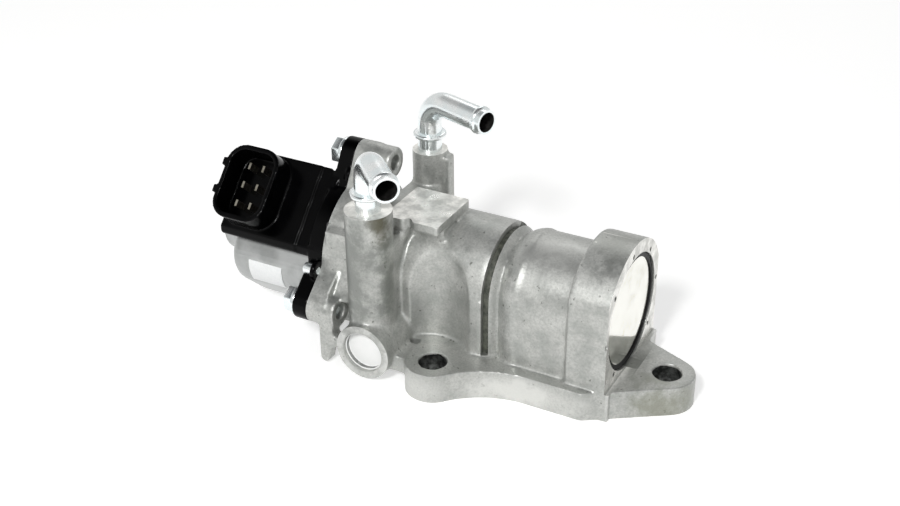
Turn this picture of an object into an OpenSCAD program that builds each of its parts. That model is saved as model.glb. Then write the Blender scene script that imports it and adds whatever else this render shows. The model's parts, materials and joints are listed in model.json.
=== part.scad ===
// Electrically driven exhaust gas recirculation valve.
// +X runs along the bore from the motor to the plugged end, +Z is up from the mounting face.
// The origin is the centre of the gas inlet port in the underside of the base flange.

/* [Base flange] */
// Thickness of the base flange
flange_t = 9.75; // [8:0.25:12]
// Half of the width of the flange between its lugs
flange_half_w = 23; // [22:0.5:25]
// Radius of the three bolt holes
bolt_r = 4.5; // [3.5:0.1:5]
// Outer radius of the lugs
lug_r = 8.9; // [8:0.1:10]
// Distance of the two rear holes behind the inlet port
rear_hole_x = 38.3; // [36:0.1:40]
// Distance of the two rear holes from the centre line
rear_hole_y = 27.75; // [27:0.05:29]
// Distance of the front hole before the inlet port
front_hole_x = 28.6; // [27:0.1:32]
// Radius of the hollow between a rear lug and the flange edge
flange_hollow_r = 30; // [20:1:40]
// Distance before the inlet port at which the near edge turns to the front lug
near_corner_x = 9.7; // [6:0.1:12]
// Distance behind the inlet port at which the far edge turns to the front lug
far_corner_x = 3; // [0:0.1:8]

/* [Bore and barrel] */
// Height of the bore axis above the mounting face
axis_z = 28.15; // [28:0.05:30]
// Outer radius of the barrel
barrel_r = 18.9; // [18.5:0.1:20]
// Position of the plugged end face
end_x = 16; // [15:0.25:18]
// Length of the collar round the plugged end
collar_len = 13.2; // [12:0.1:14]
// Outer radius of the collar
collar_r = 23.1; // [22.5:0.1:24]
// Distance of the near flat side of the collar from the axis
collar_near_y = 20; // [19.8:0.1:21.5]
// Distance of the far flat side of the collar from the axis
collar_far_y = 21.3; // [20:0.1:22]
// Position of the groove between barrel and body
groove_x = -21.6; // [-22:0.1:-21.3]
// Radius of the lip of the groove on the barrel side
groove_lip_front = 8; // [7:0.25:8.5]
// Radius of the lip of the groove on the body side
groove_lip_back = 6; // [5.5:0.25:6.5]
// Width from the groove to the start of the barrel
groove_front_w = 6.6; // [6.2:0.1:7]
// Width from the groove to the start of the body
groove_back_w = 5.9; // [5.4:0.1:5.9]
// Step from the lip of the groove down to the barrel
barrel_step = 0.4; // [0.2:0.05:0.5]
// Position of the back end of the body
body_end_x = -56; // [-57:0.25:-55]
// Rounding of the back end of the body
body_edge_r = 3; // [1:0.25:4]
// Height at which the sides of the body end behind the flange
body_bottom_z = 6; // [4:0.5:8]
// Radius of the bolt pockets in the sides of the body
pocket_r = 13.7; // [12.5:0.1:14]
// Distance of the pocket centres behind the bolt holes
pocket_offset = 2.35; // [0:0.05:3]

/* [Top pad] */
// Height of the top pad above the mounting face
pad_z = 51; // [50:0.25:53]
// Length of the pad along the bore
pad_len = 19; // [16:0.5:22]
// Width of the pad across the bore
pad_w = 21.5; // [18:0.5:24]
// Position of the front edge of the pad along the bore
pad_front_x = -41.6; // [-44:0.1:-40]
// Position of the near edge of the pad across the bore
pad_near_y = -17.6; // [-19:0.1:-15]
// Thickness of the plate of the pad
pad_t = 3.4; // [2.5:0.1:4.5]
// Width of the notch in the near edge of the pad
notch_w = 5; // [3:0.25:7]

/* [Gas passages] */
// Radius of the bore of the inlet chamber
inlet_chamber_r = 15; // [13:0.1:16]
// Radius of the bore of the outlet chamber
outlet_chamber_r = 11.5; // [10.5:0.1:12]
// Radius of the gas inlet port
inlet_port_r = 9; // [8:0.25:9.25]
// Radius of the gas outlet port
outlet_port_r = 9.5; // [8:0.25:10]
// Distance of the outlet port behind the inlet port
outlet_port_x = 36; // [35:0.25:37.5]
// Back end of the outlet chamber
outlet_chamber_end = -48; // [-49:0.25:-46]

/* [Valve] */
// Length of the pressed-in seat ring
seat_len = 5.5; // [4:0.25:5.5]
// Position of the back face of the seat ring
seat_back_x = -16; // [-16.5:0.1:-15.5]
// Radius of the seat opening
seat_r = 9.5; // [8:0.1:10]
// Width of the sloping seat face
seat_chamfer = 1.5; // [1:0.1:2]
// Gap between valve head and seat at rest
seat_gap = 0.1; // [0.05:0.01:0.2]
// Thickness of the edge of the valve head
head_edge = 1.4; // [1:0.1:2.5]
// Radius of the valve stem
stem_r = 3; // [2.5:0.1:3.5]
// Running clearance round the stem and round the lead screw
run_gap = 0.05; // [0.02:0.01:0.08]
// Travel of the valve from shut to open
lift = 6.5; // [4:0.25:7]
// Outer radius of the stem guide
guide_r = 5.5; // [5:0.1:6]
// Length of the stem guide
guide_len = 9; // [6:0.5:9]
// Outer radius of the stem seal
seal_r = 8; // [7:0.1:8.5]
// Thickness of the stem seal
seal_t = 3; // [2:0.25:3.5]
// Thickness of the washer that holds the seal
seal_washer_t = 1; // [0.8:0.1:1.5]

/* [Return spring] */
// Radius of the spring chamber
spring_chamber_r = 10.5; // [10:0.1:11]
// Mean radius of the spring
spring_r = 8; // [7.5:0.1:8.5]
// Thickness of the spring wire
spring_wire = 1.8; // [1.2:0.1:2]
// Turns of the spring
spring_turns = 5; // [3:0.5:5]
// Thickness of the spring seat
spring_seat_t = 1.5; // [1:0.1:2]
// Distance of the spring seat inside the motor flange face
spring_seat_inset = 1; // [0.5:0.1:2]

/* [End plug] */
// Radius of the mouth of the bore
mouth_r = 18.7; // [18:0.1:18.9]
// Depth of the mouth of the bore
mouth_depth = 6.5; // [5:0.25:7]
// Distance of the plug face inside the end face
plug_recess = 1; // [0.5:0.1:2]
// Radius of the visible face of the plug
plug_face_r = 17; // [16:0.1:17.4]
// Thickness of the wide back of the plug
plug_back_t = 2.5; // [2:0.25:3]
// Thickness of the plug ring seal
plug_seal_t = 2.4; // [2:0.1:2.8]
// Radius of the circle of stake marks
stake_pcr = 20; // [19.7:0.1:20.5]
// Radius of a stake mark
stake_r = 0.8; // [0.4:0.1:1]
// Depth of a stake mark
stake_depth = 0.6; // [0.3:0.1:1]

/* [Water passages] */
// Position of the front column along the bore
front_col_x = -61.3; // [-62:0.1:-60.8]
// Distance of the front column from the axis
front_col_y = 25.1; // [24:0.1:26]
// Outer radius of the front column
front_col_r = 7.5; // [7:0.1:8]
// Position of the rear column along the bore
rear_col_x = -65.3; // [-66:0.1:-64.5]
// Distance of the rear column from the axis
rear_col_y = 21; // [20:0.1:22]
// Outer radius of the rear column
rear_col_r = 5.9; // [5.8:0.1:6.5]
// Height of both columns
column_z = 56.5; // [55:0.25:58]
// Radius of the water drillings in the columns
water_r = 3.3; // [2.8:0.1:3.5]
// Position of the cross passage along the bore
cross_x = -60; // [-60.5:0.1:-59.5]
// Height of the cross passage
cross_z = 9.9; // [9.6:0.1:10.2]
// Radius of the cross passage
cross_r = 5; // [4:0.1:5.3]
// Outer radius of the core plug boss
plug_boss_r = 9.4; // [9:0.1:9.5]
// Distance of the face of the core plug boss from the axis
plug_boss_y = 34.4; // [33:0.1:36]
// Radius of the core plug
core_plug_r = 7; // [6.5:0.1:7.4]
// Depth of the cup of the core plug
core_plug_depth = 4.5; // [3.5:0.25:5.5]
// Distance of the core plug inside the face of its boss
core_plug_recess = 1.2; // [0.5:0.1:2]

/* [Coolant tubes] */
// Outer radius of the tubes
tube_r = 4; // [3.6:0.1:4.4]
// Wall of the tubes
tube_wall = 0.75; // [0.6:0.05:1]
// Depth of the tubes in the columns
tube_seat = 8; // [5:0.5:10]
// Height of the axis of the free ends of both tubes
tube_z = 74.25; // [73:0.25:78]
// Radius of the bend of the tubes
tube_bend = 8.5; // [7:0.25:10]
// Radius of the collar on the tubes
tube_collar_r = 5.6; // [5:0.1:6]
// Height of the collar above the column
tube_collar_up = 4.6; // [4:0.1:6]
// Thickness of the collar
tube_collar_t = 1.6; // [1:0.1:2]
// Height that the bead stands out of the tube end
tube_bead_h = 0.6; // [0.4:0.05:1]
// Reach of the front tube from its column
front_tube_reach = 23.8; // [20:0.1:28]
// Direction of the front tube from +X
front_tube_turn = -44.5; // [-60:0.5:-30]
// Reach of the rear tube from its column
rear_tube_reach = 26.5; // [20:0.1:30]
// Direction of the rear tube from +X
rear_tube_turn = -18.5; // [-30:0.5:0]

/* [Motor flange] */
// Position of the joint between casting and motor cover
motor_face_x = -81.5; // [-82.5:0.25:-81]
// Thickness of the motor flange of the casting
motor_flange_t = 6.5; // [5:0.25:8]
// Radius of the motor flange
motor_flange_r = 22.5; // [21.5:0.25:23]
// Radius of the circle of the three cover screws
screw_pcr = 29.5; // [28:0.25:30]
// Angle of the first cover screw from +Y
screw_turn = 80.5; // [70:0.5:90]
// Radius of the ears round the cover screws
ear_r = 5.5; // [5:0.1:6]
// Radius of the screw bosses behind the ears
boss_r = 5.2; // [4.5:0.1:5.3]
// Depth of the upper screw boss
upper_boss_len = 12.5; // [10:0.25:14]
// Depth of the two lower screw bosses
lower_boss_len = 9.75; // [8:0.25:10.5]
// Radius of the cover screws
screw_r = 2.5; // [2:0.1:3]
// Radius of the core section between body and motor flange
core_section_r = 17; // [16:0.25:18]

// Distance of the near face of the web between motor flange and front column from the axis
flange_web_y = 21.3; // [20:0.1:22]
// Height of the lower edge of that web above the mounting face
flange_web_z = 24; // [22:0.5:28]
// Height of that web
flange_web_h = 18; // [14:0.5:20]
// Radius from which the ears taper outwards
ear_root_r = 16; // [15:0.5:17]
// Width of the foot below the near lower screw boss
foot_w = 5.3; // [5:0.1:5.8]
// Distance of the foot inside the end and the side of its screw boss
foot_inset = 0.4; // [0.2:0.1:0.6]
// Thickness of that foot
foot_t = 4.5; // [4:0.1:5]
// Rounding of the tip of that foot
foot_tip_r = 1.7; // [1.5:0.1:2]
// Height of the tip above the mounting face
foot_gap = 0.3; // [0.2:0.1:1]
// Thickness of the low webs on both sides of the core plug boss
web_t = 6; // [5:0.25:6.5]

/* [Motor cover] */
// Thickness of the cover flange
cover_flange_t = 5.5; // [4.5:0.25:6]
// Tilt of the connector deck about the bore axis
deck_tilt = 46.5; // [40:0.5:50]
// Gap between the can and the underside of the deck
deck_gap = 1; // [0.5:0.1:2]
// Thickness of the deck
deck_t = 3.2; // [2.7:0.1:3.8]
// Width and height of the slope along the near edge of the deck
deck_slope = 1.9; // [1.5:0.1:2]
// Length of the lower strip of the deck beside the cover flange
deck_step_x = 5; // [4:0.25:7]
// Height of the step down to that strip
deck_step = 0.5; // [0.3:0.05:0.7]
// Back end of the deck
deck_end_x = -121.4; // [-123:0.1:-120]
// Near edge of the deck, across the deck
deck_near = -10.7; // [-12:0.1:-9]
// Far edge of the deck, across the deck
deck_far = 17; // [16:0.1:18]
// Length of the connector shroud along the bore
shroud_len = 20; // [19:0.1:22]
// Width of the connector shroud across the deck
shroud_w = 25.3; // [24:0.1:26]
// Height of the connector shroud above the deck
shroud_h = 9; // [7:0.25:12]
// Corner radius of the shroud
shroud_corner = 6.5; // [5:0.25:8]
// Wall of the shroud
shroud_wall = 1.7; // [1.4:0.1:2]
// Centre of the shroud along the bore
shroud_x = -112; // [-112.5:0.1:-111]
// Centre of the shroud across the deck
shroud_y = 3.4; // [2:0.1:4.5]
// Spacing of the terminals across the deck
pin_pitch = 6.5; // [5:0.1:7]
// Spacing of the two rows of terminals along the bore
pin_row = 5.3; // [5:0.1:6.5]
// Width of a terminal
pin_w = 2.2; // [1.5:0.1:2.8]
// Thickness of a terminal
pin_t = 0.8; // [0.5:0.1:1]
// Distance of the terminal tips inside the rim of the shroud
pin_inset = 3.25; // [1:0.25:4]
// Mean radius of the ring gasket in the cover
gasket_r = 15; // [13:0.5:15.5]
// Thickness of the ring gasket
gasket_t = 1.6; // [1.2:0.1:2]

/* [Motor] */
// Half of the width of the can across the deck
can_half_w = 20.5; // [20:0.1:21.5]
// Half of the height of the can square to the deck
can_half_h = 18.1; // [17.8:0.1:19]
// Offset of the can across the deck
can_shift_w = -3; // [-3.5:0.1:-2]
// Offset of the can square to the deck
can_shift_h = -1.9; // [-2.2:0.1:-1.6]
// Corner radius of the can
can_corner = 12; // [10:0.25:13]
// Rounding of the end of the can
can_edge = 4; // [3:0.25:5]
// Wall of the can
can_wall = 0.9; // [0.7:0.05:1.1]
// Length of the can
can_len = 31.5; // [31:0.25:33]
// Radius of the bearing hub on the can
hub_r = 9.8; // [9.5:0.1:11]
// Offset of the hub across the deck
hub_shift_w = -3.6; // [-3.8:0.1:-2]
// Offset of the hub square to the deck
hub_shift_h = -1.2; // [-1.6:0.1:-0.8]
// Length of the bearing hub
hub_len = 11; // [9:0.25:12]
// Length of the label along the bore
label_len = 13; // [8:0.5:16]
// Position of the back end of the label
label_x = -110.4; // [-111:0.1:-108]
// Height of the lower edge of the label above the middle of the can
label_low = 9; // [8.5:0.25:9.5]
// Height of the label
label_h = 7; // [6:0.25:7.5]
// Width of the label round the corner of the can
label_reach = 5.6; // [5:0.1:6]
// Thickness of the label
label_t = 0.15; // [0.1:0.05:0.3]
// Thickness of the front plate
plate_t = 3; // [2.5:0.25:3.5]
// Gap between stator and can
stator_gap = 0.7; // [0.3:0.1:1]
// Inner radius of the stator
stator_bore_r = 10.2; // [10:0.1:10.6]
// Wall of the stator cups
yoke_wall = 0.9; // [0.6:0.1:1.2]
// Length of one stator cup
yoke_len = 13; // [12:0.25:13]
// Outer radius of the rotor magnet
magnet_r = 9.8; // [9.2:0.1:9.8]
// Radius of the rotor hub
rotor_r = 6.8; // [6:0.1:7]
// Radius of the front journal of the rotor
journal_r = 5; // [4.8:0.1:5.4]
// Outer radius of the front bearing
bearing_r = 7.2; // [7:0.1:7.5]
// Radius of the rear shaft of the rotor
rear_shaft_r = 2.5; // [2:0.1:2.8]
// Outer radius of the rear bearing
rear_bearing_r = 4.5; // [4:0.1:4.8]
// Length of the rear bearing
rear_bearing_len = 5; // [4:0.25:6]
// Radius of the lead screw
screw_rod_r = 3.5; // [3:0.1:3.8]
// Half of the width across the flats of the lead screw
screw_flat = 2.9; // [2.6:0.1:3]
// Length of the lead screw
screw_rod_len = 31.5; // [29:0.5:32]

/* [Fasteners] */
// Radius of the flange of a cover screw
screw_flange_r = 5; // [4.5:0.1:5.4]
// Width across the flats of a cover screw
screw_af = 8; // [7:0.1:8.4]
// Height of the hexagon of a cover screw
screw_head_h = 4.2; // [3:0.1:5]
// Thickness of the flange of a cover screw
screw_flange_t = 1.1; // [0.8:0.1:1.5]
// Length of the shank of a cover screw
screw_len = 16; // [13:0.5:17]
// Distance of the two rivets from the axis
rivet_pcr = 24.5; // [24:0.1:25]
// Radius of a rivet head
rivet_r = 1.9; // [1.5:0.1:2.2]
// Height of a rivet head
rivet_h = 3.5; // [3:0.25:5]
// Thickness of the small lugs that hold the rivets
rivet_lug_t = 1.5; // [1.5:0.1:3]

/* [Hidden] */
$fn = 96;

// Stations along the bore, from the plugged end to the motor
collar_x = end_x - collar_len;
barrel_back_x = groove_x + groove_front_w;
body_front_x = groove_x - groove_back_w;
mouth_x = end_x - mouth_depth;
seat_front_x = seat_back_x + seat_len;
guide_front_x = outlet_chamber_end - 1;
seal_front_x = guide_front_x - guide_len;
retainer_front_x = seal_front_x - seal_t;
chamber_x = retainer_front_x - seal_washer_t;
spring_seat_back_x = motor_face_x + spring_seat_inset;
spring_seat_x = spring_seat_back_x + spring_seat_t;
cover_back_x = motor_face_x - cover_flange_t;
plate_back_x = cover_back_x - plate_t;
// The flats of the lead screw stay in their guide in the cover over the whole travel
screw_flat_len = spring_seat_back_x - cover_back_x + lift + 2;
can_end_x = cover_back_x - can_len;
hub_end_x = can_end_x - hub_len;
stator_back_x = plate_back_x - 2 * yoke_len;
rotor_back_x = can_end_x + can_wall + 0.8;
deck_z = can_half_h + can_shift_h + deck_gap + deck_t;
stator_r = can_half_h + can_shift_h - can_wall - stator_gap;

// Angles of the three cover screws and of the two rivets, from +Y towards +Z
screw_angles = [for (i = [0:2]) screw_turn + 120 * i];
rivet_angles = [93.5, 178.5];
// The water drillings start this far above the bottom of the cross passage
cover_recess = 1.5;
cut = 0.02;

function polar(r, a) = [r * cos(a), r * sin(a)];

// Angle of the outer tangent of a circle at the origin and one at distance d on +X
function tangent_angle(r0, r1, d) = acos((r0 - r1) / d);

// Contact point of the tangent from point p to the circle with centre c and radius r
function tangent_point(p, c, r, side) =
    let (v = p - c, d = norm(v), a = atan2(v[1], v[0]) + side * acos(r / d)) c + polar(r, a);

// Puts 2D shapes square to the bore, X to +Y and Y to +Z, with the extrusion along +X
module along_x(x) {
    translate([x, 0, axis_z]) rotate([90, 0, 90]) children();
}

// Turns a profile drawn as [radius, position along the bore] about the bore axis
module turned() {
    along_x(0) rotate_extrude() children();
}

// Ring about the bore axis
module ring_x(x0, x1, outer, inner) {
    along_x(x0) linear_extrude(x1 - x0) difference() {
        circle(outer);
        circle(inner);
    }
}

// Frame of the connector deck, Y across the deck and Z square to it
module deck_frame() {
    translate([0, 0, axis_z]) rotate([deck_tilt, 0, 0]) children();
}

module rounded_rect(w, h, r) {
    square([w - 2 * r, h], center = true);
    square([w, h - 2 * r], center = true);
    for (sx = [-1, 1], sy = [-1, 1])
        translate([sx * (w / 2 - r), sy * (h / 2 - r)]) circle(r);
}

// Tunnel-shaped wall: a round top of the profile, and straight sides down to the height bottom
module tunnel(bottom) {
    along_x(0) rotate_extrude(angle = 180) children();
    translate([0, 0, bottom]) linear_extrude(axis_z - bottom) {
        mirror([1, -1, 0]) children();
        mirror([0, 1, 0]) mirror([1, -1, 0]) children();
    }
}

// Half section of barrel, groove and body, as [radius, position]
module barrel_profile() {
    front_neck = sqrt(pow(groove_lip_front, 2) - pow(groove_front_w, 2));
    back_neck = sqrt(pow(groove_lip_back, 2) - pow(groove_back_w - 0.6, 2));
    neck = min(barrel_r - groove_lip_front + front_neck, barrel_r - groove_lip_back + back_neck);
    translate([0, barrel_back_x]) square([barrel_r - barrel_step, collar_x - barrel_back_x + 1]);
    translate([0, body_front_x]) square([neck, groove_front_w + groove_back_w]);
    intersection() {
        translate([barrel_r - groove_lip_front, barrel_back_x]) circle(groove_lip_front);
        translate([0, groove_x]) square([barrel_r, groove_front_w]);
    }
    intersection() {
        translate([barrel_r - groove_lip_back, body_front_x]) circle(groove_lip_back);
        translate([0, body_front_x]) square([barrel_r, groove_back_w]);
    }
    translate([0, body_end_x + body_edge_r])
        square([barrel_r, body_front_x - body_end_x - body_edge_r]);
    translate([0, body_end_x]) square([barrel_r - body_edge_r, body_edge_r + 1]);
    translate([barrel_r - body_edge_r, body_end_x + body_edge_r]) circle(body_edge_r);
}

module barrel() {
    difference() {
        tunnel(body_bottom_z) barrel_profile();
        for (side = [-1, 1])
            translate([-rear_hole_x - pocket_offset, side * rear_hole_y, flange_t])
                cylinder(r = pocket_r, h = axis_z + barrel_r);
    }
}

module collar() {
    intersection() {
        tunnel(0) translate([0, collar_x]) square([collar_r, collar_len]);
        translate([collar_x - 1, -collar_near_y, 0])
            cube([collar_len + 2, collar_near_y + collar_far_y, axis_z + collar_r + 1]);
    }
}

module base_outline() {
    rear = [-rear_hole_x, -rear_hole_y];
    front = [front_hole_x, 0];
    reach = flange_hollow_r + lug_r;
    hollow_y = -flange_half_w - flange_hollow_r;
    hollow_x = rear[0] + sqrt(pow(reach, 2) - pow(hollow_y - rear[1], 2));
    near_corner = [near_corner_x, -flange_half_w];
    far_corner = [-far_corner_x, flange_half_w];
    difference() {
        union() {
            polygon([
                [rear[0] - lug_r, rear[1]], [rear[0], rear[1]], [hollow_x, -flange_half_w],
                near_corner, tangent_point(near_corner, front, lug_r, 1), front,
                tangent_point(far_corner, front, lug_r, -1), far_corner,
                [hollow_x, flange_half_w], [rear[0], -rear[1]], [rear[0] - lug_r, -rear[1]]
            ]);
            for (side = [-1, 1]) {
                translate([rear[0], side * rear[1]]) circle(lug_r);
                mirror([0, (side + 1) / 2, 0])
                    polygon([rear, rear + polar(lug_r - cut, atan2(hollow_y - rear[1], hollow_x - rear[0])),
                             [hollow_x, -flange_half_w]]);
            }
            translate(front) circle(lug_r);
        }
        for (side = [-1, 1]) translate([hollow_x, side * hollow_y]) circle(flange_hollow_r);
    }
}

// Three ears joined to a round flange, as an outline square to the bore
module eared_outline(r) {
    a = tangent_angle(ear_root_r, ear_r, screw_pcr);
    circle(r);
    for (t = screw_angles) rotate(t) {
        translate([screw_pcr, 0]) circle(ear_r);
        polygon([[0, 0], polar(ear_root_r, a), [screw_pcr, 0] + polar(ear_r, a),
                 [screw_pcr, 0] + polar(ear_r, -a), polar(ear_root_r, -a)]);
    }
}

module motor_flange() {
    along_x(motor_face_x) {
        linear_extrude(motor_flange_t) eared_outline(motor_flange_r);
        for (i = [0:2]) rotate(screw_angles[i]) translate([screw_pcr, 0])
            cylinder(r = boss_r, h = i == 0 ? upper_boss_len : lower_boss_len);
    }
}

// Middle of the casting between motor flange and body, with the web to each water column
module core_section() {
    along_x(motor_face_x + 2) cylinder(r = core_section_r, h = body_end_x - motor_face_x + 2);
    translate([front_col_x - front_col_r + 1, -front_col_y, cross_z])
        cube([2 * front_col_r - 2, front_col_y + 2, pad_z - 5 - cross_z]);
    translate([motor_face_x + 1, -flange_web_y, cross_z])
        cube([front_col_x - motor_face_x - 1, flange_web_y, flange_web_z + flange_web_h - cross_z]);
    along_x(motor_face_x + 1) linear_extrude(front_col_x - motor_face_x - 1)
        polygon([[0, flange_web_z - axis_z],
                 [screw_pcr * cos(screw_angles[1]) - 1, flange_web_z - axis_z - 1.9],
                 [-flange_web_y - 0.9, 1.2], [-flange_web_y + 0.3, flange_web_z + flange_web_h - axis_z - 4],
                 [0, flange_web_z + flange_web_h - axis_z - 4]]);
    translate([rear_col_x - rear_col_r + 0.5, -2, cross_z])
        cube([2 * rear_col_r - 1, rear_col_y + 2, pad_z - 6 - cross_z]);
}

module water_columns() {
    translate([front_col_x, -front_col_y, cross_z - 4]) cylinder(r = front_col_r, h = column_z - cross_z + 4);
    translate([rear_col_x, rear_col_y, cross_z - 4]) cylinder(r = rear_col_r, h = column_z - cross_z + 4);
    translate([rear_col_x, rear_col_y - 2.5, cross_z + 3])
        cube([8, 5, column_z - cross_z - 4]);
    translate([cross_x, rear_col_y + 6.5, cross_z]) rotate([90, 0, 0])
        cylinder(r = plug_boss_r, h = plug_boss_y + rear_col_y + 6.5);
}

// Tapered foot below the lower screw boss, its arched web to the core plug boss,
// and the low web from that boss to the near lug of the base
module foot_rib() {
    boss_y = screw_pcr * cos(screw_angles[1]);
    boss_z = axis_z + screw_pcr * sin(screw_angles[1]);
    foot_x = motor_face_x + lower_boss_len - foot_w - foot_inset;
    foot_top = boss_z - boss_r / 2;
    plug_boss_x = cross_x - plug_boss_r;
    arch_r = (plug_boss_x + 2 - foot_x - foot_w + foot_tip_r) / 2;
    translate([0, boss_y - boss_r + foot_inset + foot_t, 0]) rotate([90, 0, 0]) linear_extrude(foot_t) {
        translate([foot_x + foot_tip_r, foot_gap + foot_tip_r]) circle(foot_tip_r);
        polygon([[foot_x, foot_top], [foot_x, foot_gap + foot_tip_r],
                 [foot_x + 1.9 * foot_tip_r, foot_gap + foot_tip_r],
                 [foot_x + foot_w, cross_z - 1], [foot_x + foot_w, foot_top]]);
        difference() {
            translate([foot_x + foot_tip_r, cross_z - web_t + 1])
                square([cross_x - foot_x - plug_boss_r / 2, web_t]);
            translate([plug_boss_x + 2 - arch_r, cross_z - web_t]) circle(arch_r);
        }
    }
    translate([cross_x, -rear_hole_y - web_t / 2, flange_t - web_t - 0.25])
        cube([-rear_hole_x - cross_x - bolt_r, 1.6 * web_t, web_t]);
}

// Machined plate on the body, on a narrower block, with a notch and a small web below its near edge
module top_pad() {
    back_x = pad_front_x - pad_len;
    notch_x = back_x + pad_len / 2 - 1;
    translate([back_x, pad_near_y, pad_z - pad_t]) difference() {
        cube([pad_len, pad_w, pad_t]);
        translate([notch_x - back_x, 0, -1]) linear_extrude(pad_t + 2)
            polygon([[-notch_w / 2, -1], [notch_w / 2, -1], [0, notch_w / 2]]);
    }
    translate([back_x + 1, pad_near_y + 6, axis_z + 8]) cube([pad_len - 2, pad_w - 7, pad_z - axis_z - 9]);
    translate([0, pad_near_y + 8, 0]) rotate([90, 0, 0]) linear_extrude(7.6)
        polygon([[back_x + 1, pad_z - pad_t + 0.5], [notch_x - 0.5, pad_z - pad_t + 0.5],
                 [notch_x - 2.5, pad_z - pad_t - 5.5]]);
}

module gas_passages() {
    along_x(mouth_x) cylinder(r = mouth_r, h = mouth_depth + 1);
    along_x(seat_back_x) cylinder(r = inlet_chamber_r, h = mouth_x - seat_back_x + 1);
    along_x(outlet_chamber_end) cylinder(r = outlet_chamber_r, h = seat_back_x - outlet_chamber_end + 1);
    along_x(seal_front_x - 1) cylinder(r = guide_r, h = guide_len + 3);
    along_x(chamber_x - 1) cylinder(r = seal_r, h = seal_front_x - chamber_x + 1);
    along_x(motor_face_x - 1) cylinder(r = spring_chamber_r, h = chamber_x - motor_face_x + 1);
    translate([0, 0, -1]) cylinder(r = inlet_port_r, h = axis_z - 4);
    translate([-outlet_port_x, 0, -1]) cylinder(r = outlet_port_r, h = axis_z - 4);
}

module water_passages() {
    for (c = [[front_col_x, -front_col_y, column_z], [rear_col_x, rear_col_y, column_z]])
        translate([c[0], c[1], 0]) {
            translate([0, 0, cross_z]) cylinder(r = water_r, h = c[2] - cross_z - 1);
            translate([0, 0, c[2] - tube_seat]) cylinder(r = tube_r, h = tube_seat + 1);
        }
    translate([cross_x, rear_col_y + 2, cross_z]) rotate([90, 0, 0])
        cylinder(r = cross_r, h = plug_boss_y + rear_col_y);
    translate([cross_x, -plug_boss_y + core_plug_recess + core_plug_depth, cross_z]) rotate([90, 0, 0])
        cylinder(r = core_plug_r, h = core_plug_recess + core_plug_depth + 1);
}

module bolt_holes() {
    for (p = [[-rear_hole_x, -rear_hole_y], [-rear_hole_x, rear_hole_y], [front_hole_x, 0]])
        translate([p[0], p[1], -1]) cylinder(r = bolt_r, h = flange_t + 2);
    along_x(motor_face_x - 1)
        for (t = screw_angles) rotate(t) translate([screw_pcr, 0])
            cylinder(r = screw_r, h = upper_boss_len + 2);
}

module stake_marks() {
    along_x(end_x - stake_depth)
        for (i = [0:7]) rotate(5 + 45 * i) translate([stake_pcr, 0])
            cylinder(r = stake_r, h = stake_depth + 1);
}

module valve_body() {
    color("silver") difference() {
        union() {
            linear_extrude(flange_t) base_outline();
            barrel();
            collar();
            core_section();
            motor_flange();
            water_columns();
            foot_rib();
            top_pad();
        }
        gas_passages();
        water_passages();
        bolt_holes();
        stake_marks();
    }
}

module end_plug() {
    face_x = end_x - plug_recess;
    color("gainsboro") turned() difference() {
        union() {
            translate([0, mouth_x]) square([mouth_r, plug_back_t]);
            translate([0, mouth_x]) square([plug_face_r, face_x - mouth_x]);
        }
        translate([0, mouth_x - 1]) square([inlet_chamber_r - 2, plug_back_t]);
    }
}

module end_plug_seal() {
    x = mouth_x + plug_back_t;
    color("black") ring_x(x, x + plug_seal_t, mouth_r, plug_face_r);
}

module core_plug() {
    wall = 1;
    color("white")
        translate([cross_x, -plug_boss_y + core_plug_recess + core_plug_depth, cross_z]) rotate([90, 0, 0])
            difference() {
                cylinder(r = core_plug_r, h = core_plug_depth);
                translate([0, 0, wall]) cylinder(r = core_plug_r - wall, h = core_plug_depth);
            }
}

// One bent tube with collar and bead; the origin is the centre of the column's top, the run goes to +X
module coolant_tube(top, reach) {
    rise = top - tube_bend;
    bead_x = reach - 2.6;
    difference() {
        union() {
            tube_path(tube_r, rise, reach);
            translate([0, 0, tube_collar_up]) rotate_extrude() {
                square([tube_collar_r - tube_collar_t / 2, tube_collar_t]);
                translate([tube_collar_r - tube_collar_t / 2, tube_collar_t / 2]) circle(tube_collar_t / 2);
            }
            translate([bead_x, 0, top]) rotate([0, 90, 0]) rotate_extrude()
                intersection() {
                    translate([tube_r + tube_bead_h - 1.2, 0]) circle(1.2);
                    translate([0, -2]) square([tube_r + 2, 4]);
                }
        }
        tube_path(tube_r - tube_wall, rise, reach, 1);
    }
}

// Straight rise, quarter bend and straight run of a tube
module tube_path(r, rise, reach, extra = 0) {
    translate([0, 0, -tube_seat - extra]) cylinder(r = r, h = tube_seat + rise + extra);
    translate([tube_bend, 0, rise]) rotate([90, 0, 0]) rotate([0, 0, 90])
        rotate_extrude(angle = 90) translate([tube_bend, 0]) circle(r);
    translate([tube_bend, 0, rise + tube_bend]) rotate([0, 90, 0]) cylinder(r = r, h = reach - tube_bend + extra);
}

module front_coolant_tube() {
    color("lightsteelblue") translate([front_col_x, -front_col_y, column_z]) rotate(front_tube_turn)
        coolant_tube(tube_z - column_z, front_tube_reach);
}

module rear_coolant_tube() {
    color("lightsteelblue") translate([rear_col_x, rear_col_y, column_z]) rotate(rear_tube_turn)
        coolant_tube(tube_z - column_z, rear_tube_reach);
}

module valve_seat() {
    color("dimgray") turned() difference() {
        translate([seat_r, seat_back_x]) square([inlet_chamber_r - seat_r, seat_len]);
        polygon([[seat_r - 1, seat_front_x - seat_chamfer - 1], [seat_r + seat_chamfer + 1, seat_front_x + 1],
                 [seat_r - 1, seat_front_x + 1]]);
    }
}

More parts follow.
